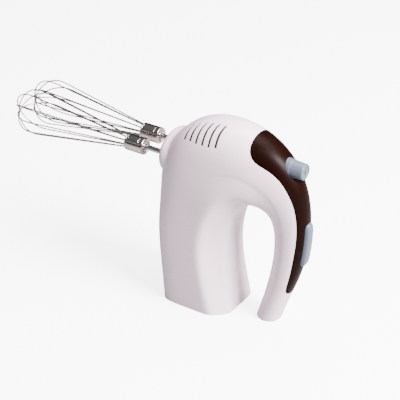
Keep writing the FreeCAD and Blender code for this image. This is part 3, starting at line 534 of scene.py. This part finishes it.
class MIXER_OT_grip_panel(bpy.types.Operator):
    """Finishes the dark grip panel"""

    bl_idname = "mixer.grip_panel"
    bl_label = "Grip panel"

    def execute(self, context):
        dress_nodes({"panel_brown"})
        return {"FINISHED"}


class MIXER_OT_inner_works(bpy.types.Operator):
    """Finishes motor, gears, frames, switches and the other pieces inside"""

    bl_idname = "mixer.inner_works"
    bl_label = "Inner works"

    def execute(self, context):
        dress_nodes(set(SLOTS.values()) - {"casing_white", "base_white", "panel_brown"})
        return {"FINISHED"}


class MIXER_OT_whisk_wires(bpy.types.Operator):
    """Draws the five wires of each whisk"""

    bl_idname = "mixer.whisk_wires"
    bl_label = "Whisk wires"

    def execute(self, context):
        sizes = context.scene.mixer_sizes
        for side in SIDES:
            hub_low, hub_high = box_of("wire_hub_" + side)
            centre = (hub_low + hub_high) / 2
            phase = 0 if side == "left" else 90 / LOOPS
            for number in range(LOOPS):
                node = "whisk_loop_%s_%d" % (side, number + 1)
                tip = box_of(node)[0][0] + sizes.wire / 2
                curve = whisk_curve(tip, hub_low[0], sizes.whisk_radius - sizes.wire / 2,
                                    sizes.wire_root, 0.003)
                angle = math.radians(phase + 180 * number / LOOPS)
                out = np.array([0, -math.sin(angle), math.cos(angle)])
                path = (curve[:, :1] * [1, 0, 0] + curve[:, 1:] * out
                        + centre * [0, 1, 1])
                piece = wire_piece("wire_%s_%d" % (side, number + 1), path,
                                   np.cross([1, 0, 0], out), sizes.wire / 2)
                dress(piece, "wire_chrome", "beater_" + side, [node])
        return {"FINISHED"}


class MIXER_OT_ferrules(bpy.types.Operator):
    """Turns the chromed ferrules that gather the wires"""

    bl_idname = "mixer.ferrules"
    bl_label = "Ferrules"

    def execute(self, context):
        wall = context.scene.mixer_sizes.ferrule_wall
        for side in SIDES:
            low, high = box_of("ferrule_" + side)
            hub = box_of("wire_hub_" + side)[0][0]
            bore = half_height("whisk_shaft_" + side)
            start, end, radius = low[0], high[0], (high[2] - low[2]) / 2
            groove, edge, recess = start + (end - start) * 0.72, radius - 0.0006, end - 0.0013
            outline = eased([
                (hub + 0.0005, radius - wall), (start + 0.0012, radius - wall),
                (start, radius - wall * 0.75), (start, radius - 0.0001),
                (start + 0.0016, radius), (start + 0.0019, radius - 0.0005),
                (start + 0.0023, radius - 0.0005), (start + 0.0026, radius),
                (groove, radius), (groove + 0.0003, edge), (groove + 0.0010, edge),
                (groove + 0.0013, radius), (end - 0.0001, radius),
                (end, radius - 0.0025), (recess, radius - 0.0031), (recess, bore + 0.0012),
                (end, bore + 0.0009), (end, bore + 0.0002),
                (end - wall, bore + 0.0001), (end - wall, radius - wall)],
                [0.0003, 0.0002, 0.0004, 0.0006, 0.0001, 0.0001, 0.0001, 0.0001, 0.0001, 0.0001,
                 0.0001, 0.0001, 0.0008, 0.0003, 0.0002, 0.0002, 0.0002, 0.0001, 0.0001, 0.0003])

            def notch(along, ring, angle):
                """Four spokes that stand up in the end recess, where cosine of 4 turns > 0."""
                spoke = 0.5 + 0.5 * np.tanh(7 * (np.cos(4 * angle) - 0.55))
                inside = (along > end - 0.0014) & (ring > bore + 0.001) & (ring < radius - 0.003)
                return np.where(inside & (along < end - 0.0009), 0.0011 * spoke, 0)

            piece = turned_piece("ferrule_shell_" + side, outline, [0, *(low + high)[1:] / 2],
                                 sides=128, ring_closed=True, relief=notch)
            dress(piece, "ferrule_chrome", "beater_" + side, ["ferrule_" + side])
        return {"FINISHED"}


class MIXER_OT_shanks(bpy.types.Operator):
    """Turns the whisk shanks, with a snap groove and a rounded inner end"""

    bl_idname = "mixer.shanks"
    bl_label = "Shanks"

    def execute(self, context):
        for side in SIDES:
            low, high = box_of("whisk_shaft_" + side)
            radius = (high[2] - low[2]) / 2
            start, end = low[0], high[0]
            outline = eased([
                (start, radius * 0.4), (start, radius), (end - 0.0090, radius),
                (end - 0.0086, radius - 0.0006), (end - 0.0072, radius - 0.0006),
                (end - 0.0068, radius), (end - 0.0016, radius), (end, radius * 0.62),
                (end, radius * 0.3)],
                [0, 0.0002, 0.0002, 0.0002, 0.0002, 0.0002, 0.0008, 0.0006, 0])
            piece = turned_piece("shank_" + side, outline, [0, *(low + high)[1:] / 2], sides=48)
            dress(piece, "shaft_steel", "beater_" + side, ["whisk_shaft_" + side])
        return {"FINISHED"}


class MIXER_OT_outlet_lips(bpy.types.Operator):
    """Turns the rounded lips of the two shaft outlets in the nose"""

    bl_idname = "mixer.outlet_lips"
    bl_label = "Outlet lips"

    def execute(self, context):
        lip = context.scene.mixer_sizes.outlet_lip
        nose = box_of("nose_cap")[0][0]
        for side in SIDES:
            low, high = box_of("spindle_" + side)
            inner = half_height("spindle_" + side) + 0.0005
            outline = eased([(nose + 0.0020, inner), (nose - lip, inner),
                             (nose - lip, inner + 0.0011), (nose + 0.0003, inner + 0.0021),
                             (nose + 0.0020, inner + 0.0021)],
                            [0.0002, 0.0005, 0.0005, 0.0004, 0.0002])
            piece = turned_piece("outlet_lip_" + side, outline, [0, *(low + high)[1:] / 2],
                                 ring_closed=True)
            dress(piece, "casing_white", "mixer")
        return {"FINISHED"}


class MIXER_OT_speed_knob(bpy.types.Operator):
    """Turns the speed and eject knob, with its dished end and its pointer"""

    bl_idname = "mixer.speed_knob"
    bl_label = "Speed knob"

    def execute(self, context):
        flutes = context.scene.mixer_sizes.knob_flutes
        low, high = box_of("speed_knob")
        centre = [0, *(low + high)[1:] / 2]
        base, end, wide = low[0], high[0], (high[2] - low[2]) / 2
        bore, rod_end = half_height("eject_rod") + 0.00005, box_of("eject_rod")[1][0]
        body = wide - 0.0006
        outline = eased([
            (rod_end, bore * 0.3), (rod_end, bore), (base, bore), (base, wide),
            (base + 0.0118, wide), (base + 0.0128, body), (end - 0.0001, body - 0.0006),
            (end, body - 0.0030), (end - 0.0007, body - 0.0034), (end - 0.0007, 0.0008)],
            [0, 0.0003, 0.0003, 0.0006, 0.0005, 0.0004, 0.0014, 0.0005, 0.0003, 0])

        def fluted(along, ring, angle):
            """Shallow flutes: the cosine of many turns, faded in along the knob's side."""
            span = np.clip((along - base - 0.0135) / 0.002, 0, 1)
            fade = span * np.clip((end - 0.002 - along) / 0.002, 0, 1)
            on_side = (ring > body - 0.0012) & (flutes > 0)
            return np.where(on_side, 0.00004 * fade * np.cos(flutes * angle), 0)

        knob = turned_piece("speed_knob_cap", outline, centre, sides=168, relief=fluted)
        dress(knob, "control_grey", "knob", ["speed_knob"])
        lift = np.sin(np.linspace(-np.pi / 2, np.pi / 2, 33))[1:-1, None]
        turn = np.linspace(0, 2 * np.pi, 40, endpoint=False)[None]
        slim = superellipse(lift, 4) * (1 - 0.35 * lift)
        points = np.stack([end - 0.0008 + 0.0004 * slim * np.cos(turn),
                           0.0008 * slim * np.sin(turn),
                           centre[2] + 0.0026 * lift + 0 * turn], -1)
        pointer = grid_piece("knob_pointer", points)
        dress(pointer, "black_plastic", "knob")
        return {"FINISHED"}


class MIXER_OT_pulse_button(bpy.types.Operator):
    """Shapes the rounded pulse button that follows the grip's curve"""

    bl_idname = "mixer.pulse_button"
    bl_label = "Pulse button"

    def execute(self, context):
        power = context.scene.mixer_sizes.button_edge
        places, facing = vertices_of("pulse_button")
        low, high = box_of("pulse_button")
        # The flange inside the casing stands out past the button's own outline.
        flange, depth = 0.0015, 0.0078
        half_width, half_length = high[1] - flange, (high[2] - low[2]) / 2 - flange
        middle = (low[2] + high[2]) / 2
        crest = places[(facing[:, 0] > 0.7) & (np.abs(places[:, 1]) < 0.004)
                       & (np.abs(places[:, 2] - middle) < half_length - 0.003)
                       & (places[:, 0] > high[0] - 0.0045)]
        curve = np.polyfit(crest[:, 2], crest[:, 0], 3)
        rise = np.sin(np.linspace(-np.pi / 2, np.pi / 2, 81))[1:-1, None]
        angle = np.linspace(0, 2 * np.pi, 72, endpoint=False)[None]
        reach = (np.abs(np.cos(angle) / depth) ** power
                 + np.abs(np.sin(angle) / half_width) ** power) ** (-1 / power)
        shrink = superellipse(rise, 7)
        height = middle + half_length * rise + 0 * angle
        points = np.stack([np.polyval(curve, height) - depth + shrink * reach * np.cos(angle),
                           shrink * reach * np.sin(angle), height], -1)
        points[..., 0] = np.minimum(points[..., 0], high[0])
        piece = grid_piece("pulse_button_cap", points)
        dress(piece, "control_grey", "pulse", ["pulse_button"])
        return {"FINISHED"}


class MIXER_OT_vent_shade_sheet(bpy.types.Operator):
    """Lays a dark sheet under the crown, behind the cooling slots: painted shade that darkens
    the slots
    """

    bl_idname = "mixer.vent_screen"
    bl_label = "Vent shade sheet"

    def execute(self, context):
        depth = context.scene.mixer_sizes.shade_sheet_depth
        places, facing = vertices_of("casing_left")
        crown = places[(facing[:, 2] > 0.25) & (places[:, 2] > 0.155)
                       & (places[:, 0] > -0.032) & (places[:, 0] < 0.045)]

        def terms(x, y):
            """Powers of x up to the fourth times even powers of y up to the sixth."""
            x, y = x / 0.04, y / 0.04
            return np.stack([x ** i * y ** j for i in range(5) for j in (0, 2, 4, 6)], -1)

        weights = np.linalg.lstsq(terms(crown[:, 0], crown[:, 1]), crown[:, 2], rcond=None)[0]
        x, y = np.meshgrid(np.linspace(-0.022, 0.034, 44), np.linspace(-0.0285, 0.0285, 60),
                           indexing="ij")
        step = 1e-5
        slope_x = (terms(x + step, y) - terms(x - step, y)) @ weights / (2 * step)
        slope_y = (terms(x, y + step) - terms(x, y - step)) @ weights / (2 * step)
        steep = np.sqrt(1 + slope_x ** 2 + slope_y ** 2)
        top = terms(x, y) @ weights - depth * steep
        upper = np.stack([x, y, top], -1)
        lower = np.stack([x, y, top - 0.001 * steep], -1)[:, ::-1]
        # A dark sheet just under the crown: painted shade seen through the cooling slots.
        piece = grid_piece("vent_screen", np.concatenate([upper, lower], 1))
        dress(piece, "black_plastic", "mixer")
        return {"FINISHED"}


class MIXER_OT_cord_collar(bpy.types.Operator):
    """Turns the ribbed rubber collar of the cord inlet"""

    bl_idname = "mixer.cord_collar"
    bl_label = "Cord collar"

    def execute(self, context):
        low, high = box_of("cord_gland")
        start, end, flange = low[1], high[1], (high[2] - low[2]) / 2
        tube, bore, seat = 0.0060, 0.0033, high[1] - 0.0024
        outline = eased([
            (start, bore), (start, tube - 0.0006), (start + 0.0010, tube),
            (seat, tube), (seat, flange), (seat + 0.0008, flange),
            (seat + 0.0011, flange - 0.0009), (seat + 0.0016, flange - 0.0012),
            (end, tube - 0.0003), (end, bore + 0.0007), (end - 0.0007, bore)],
            [0.0002, 0.0002, 0.0003, 0.0002, 0.0002, 0.0003, 0.0002, 0.0002, 0.0005, 0.0002,
             0.0002])
        centre = [(low[0] + high[0]) / 2, 0, (low[2] + high[2]) / 2]
        piece = turned_piece("cord_collar", outline, centre, axis="Y", ring_closed=True)
        dress(piece, "gland_rubber", "mixer", ["cord_gland"])
        return {"FINISHED"}


class MIXER_OT_stage(bpy.types.Operator):
    """Sets the floor, the soft lights and the camera"""

    bl_idname = "mixer.stage"
    bl_label = "Stage"

    def execute(self, context):
        scene = context.scene
        mesh = bpy.data.meshes.new("floor")
        mesh.from_pydata([(-6, -6, 0), (6, -6, 0), (6, 6, 0), (-6, 6, 0)], [], [(0, 1, 2, 3)])
        floor = bpy.data.objects.new("floor", mesh)
        scene.collection.objects.link(floor)
        paper = bpy.data.materials.new("White paper")
        paper.use_nodes = True
        tree = paper.node_tree
        surface = tree.nodes["Principled BSDF"]
        place = add_node(tree, "ShaderNodeTexCoord").outputs["Object"]
        fibre = add_node(tree, "ShaderNodeTexNoise", {
            "Vector": place, "Scale": 6.0, "Detail": 2.0}).outputs["Fac"]
        colour = scene.mixer_paint.floor
        tone = mixed(tree, fibre, rgba(colour), rgba([0.985 * c for c in colour]))
        seen = add_node(tree, "ShaderNodeLightPath").outputs["Is Camera Ray"]
        tone = mixed(tree, maths(tree, "MULTIPLY", seen, 0.9), tone, (1, 1, 1, 1))
        tree.links.new(tone, surface.inputs["Base Color"])
        surface.inputs["Roughness"].default_value = 0.85
        surface.inputs["Emission Color"].default_value = (1, 1, 1, 1)
        glow = maths(tree, "MULTIPLY", seen, 4.5)
        tree.links.new(glow, surface.inputs["Emission Strength"])
        mesh.materials.append(paper)

        world = bpy.data.worlds.new("Studio air")
        scene.world = world
        world.use_nodes = True
        tree = world.node_tree
        sky = tree.nodes["Background"]
        up = add_node(tree, "ShaderNodeSeparateXYZ", {
            0: add_node(tree, "ShaderNodeTexCoord").outputs["Generated"]}).outputs[2]
        ramp = add_node(tree, "ShaderNodeValToRGB", {0: up})
        first, last = ramp.color_ramp.elements
        first.color, last.color = (0.62, 0.6, 0.62, 1), (1, 1, 1, 1)
        for position, tone in ((0.18, 0.10), (0.42, 0.14), (0.6, 0.75)):
            element = ramp.color_ramp.elements.new(position)
            element.color = (tone, tone * 0.98, tone, 1)
        tree.links.new(ramp.outputs[0], sky.inputs["Color"])
        sky.inputs["Strength"].default_value = 0.2

        aim = Vector((-0.01, 0, 0.11))
        for name, place, size, power, tint in (
                ("key softbox", (1.5, -0.1, 1.4), 0.8, 300, (1, 0.9, 0.89)),
                ("top softbox", (0.1, 0.5, 1.8), 1.2, 60, (1, 0.92, 0.94)),
                ("left fill", (-1.5, -1.3, 0.75), 1.0, 1.5, (1, 0.93, 1))):
            lamp = bpy.data.lights.new(name, "AREA")
            lamp.energy, lamp.size, lamp.color = power, size, tint
            holder = bpy.data.objects.new(name, lamp)
            scene.collection.objects.link(holder)
            holder.location = place
            holder.rotation_euler = (aim - Vector(place)).to_track_quat("-Z", "Y").to_euler()

        azimuth, rise, distance = math.radians(33), math.radians(31), 1.4
        right = Vector((math.cos(azimuth), math.sin(azimuth), 0))
        back = Vector((math.sin(azimuth) * math.cos(rise), -math.cos(azimuth) * math.cos(rise),
                       math.sin(rise)))
        upward = back.cross(right)
        target = Vector((0.023, -0.036, 0)) - right * 0.009 + upward * 0.116
        lens = bpy.data.cameras.new("camera")
        lens.lens, lens.clip_end = lens.sensor_width * distance / 0.4, 60
        camera = bpy.data.objects.new("camera", lens)
        scene.collection.objects.link(camera)
        camera.matrix_world = (Matrix.Translation(target + back * distance)
                               @ Matrix((right, upward, back)).transposed().to_4x4())
        scene.camera = camera
        return {"FINISHED"}


PIECES = (MIXER_OT_casing, MIXER_OT_grip_panel, MIXER_OT_inner_works, MIXER_OT_whisk_wires,
          MIXER_OT_ferrules, MIXER_OT_shanks, MIXER_OT_outlet_lips, MIXER_OT_speed_knob,
          MIXER_OT_pulse_button, MIXER_OT_vent_shade_sheet, MIXER_OT_cord_collar, MIXER_OT_stage)


class MIXER_PT_pieces(bpy.types.Panel):
    """Sizes, colours and pieces of the hand mixer"""

    bl_label = "Hand Mixer"
    bl_idname = "MIXER_PT_pieces"
    bl_space_type = "VIEW_3D"
    bl_region_type = "UI"
    bl_category = "Mixer"

    def draw(self, context):
        for settings in (context.scene.mixer_sizes, context.scene.mixer_paint):
            for key in settings.__annotations__:
                self.layout.prop(settings, key)
        for piece in PIECES:
            self.layout.operator(piece.bl_idname)


CLASSES = (MixerSizes, MixerPaint, *PIECES, MIXER_PT_pieces)


def register():
    """Adds the classes and the scene's settings."""
    for item in CLASSES:
        bpy.utils.register_class(item)
    bpy.types.Scene.mixer_sizes = PointerProperty(type=MixerSizes)
    bpy.types.Scene.mixer_paint = PointerProperty(type=MixerPaint)


def unregister():
    """Takes the classes and the scene's settings away."""
    del bpy.types.Scene.mixer_paint
    del bpy.types.Scene.mixer_sizes
    for item in reversed(CLASSES):
        bpy.utils.unregister_class(item)


def main():
    """Builds every piece in order."""
    register()
    for piece in PIECES:
        family, step = piece.bl_idname.split(".")
        getattr(getattr(bpy.ops, family), step)()


if __name__ == "__main__":
    main()
